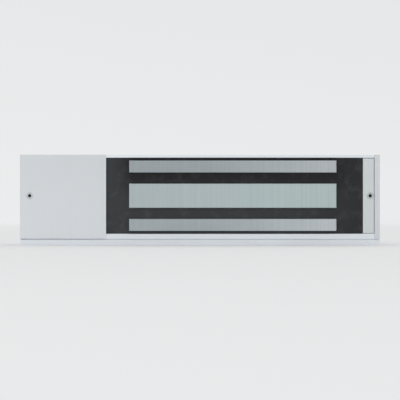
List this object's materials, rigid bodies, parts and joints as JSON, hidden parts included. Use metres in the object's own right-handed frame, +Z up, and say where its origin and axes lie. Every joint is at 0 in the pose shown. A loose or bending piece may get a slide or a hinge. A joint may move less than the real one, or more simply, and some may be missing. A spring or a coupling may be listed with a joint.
{
  "type": "electromagnetic door lock",
  "caption": "Long aluminium magnetic lock on its mounting plate, with steel pole strips in black potting, a plain wiring cover at the left and an end cap at each end.",
  "frame": {"origin": "middle of the underside of the mounting plate, under the middle of the box around the lock", "axes": "+X along the lock from the wiring cover to the plain end, -Y out of the pole faces, +Z up from the mounting plate"},
  "size_m": [0.268, 0.04, 0.0675],
  "materials": {
    "anodised_housing": "clear anodised extrusion, satin with fine lengthwise die lines",
    "anodised_plate": "clear anodised flat bar, satin, edges lightly broken",
    "cast_cap": "cast aluminium, bead blasted and clear anodised",
    "cover_plate": "pale satin anodised sheet",
    "small_plate": "satin anodised strip, a shade darker than the cover",
    "pole_steel": "zinc plated laminated steel, ground flat, cool satin",
    "black_epoxy": "cast black epoxy, low sheen, faint flow marks",
    "steel_screws": "turned stainless steel",
    "sleeve_steel": "turned zinc plated steel",
    "black_steel": "black oxide alloy steel",
    "cap_steel": "turned steel, faced and nickel plated",
    "black_nylon": "moulded black nylon",
    "bobbin_nylon": "natural glass filled nylon",
    "enamelled_copper": "enamelled copper wire, layer wound",
    "black_rubber": "moulded rubber",
    "board_laminate": "green solder mask over glass laminate",
    "brass_standoffs": "turned brass, nickel free",
    "terminal_plastic": "moulded green nylon",
    "relay_plastic": "moulded black relay cover",
    "header_pins": "gold flashed pins in a black base",
    "jumper_plastic": "moulded black jumpers",
    "capacitor_sleeve": "aluminium can in a dark sleeve",
    "varistor_coating": "blue epoxy dip coating",
    "diode_body": "moulded black body on tinned legs",
    "sensor_resin": "moulded resin",
    "red_wire": "vinyl insulation",
    "black_wire": "vinyl insulation",
    "grey_wire": "vinyl insulation"
  },
  "bodies": {
    "root": {"housing": "anodised_housing", "mounting_plate": "anodised_plate", "end_cap_left": "cast_cap", "end_cap_right": "cast_cap", "end_cap_screws": "steel_screws", "wiring_cover": "cover_plate", "end_plate": "small_plate", "cover_screws": "steel_screws", "partition": "black_nylon", "core": "pole_steel", "bobbin": "bobbin_nylon", "winding": "enamelled_copper", "potting": "black_epoxy", "bolt_sleeves": "sleeve_steel", "bolt_washers": "steel_screws", "mounting_bolts": "black_steel", "tamper_caps": "cap_steel", "locating_pins": "steel_screws", "wire_grommet": "black_rubber", "circuit_board": "board_laminate", "board_standoffs": "brass_standoffs", "board_screws": "steel_screws", "terminal_block": "terminal_plastic", "terminal_screws": "steel_screws", "relay": "relay_plastic", "voltage_header": "header_pins", "voltage_jumpers": "jumper_plastic", "capacitor": "capacitor_sleeve", "varistor": "varistor_coating", "diode": "diode_body", "bond_sensor": "sensor_resin", "sensor_lead": "grey_wire", "coil_lead_red": "red_wire", "coil_lead_black": "black_wire"}
  },
  "joints": []
}
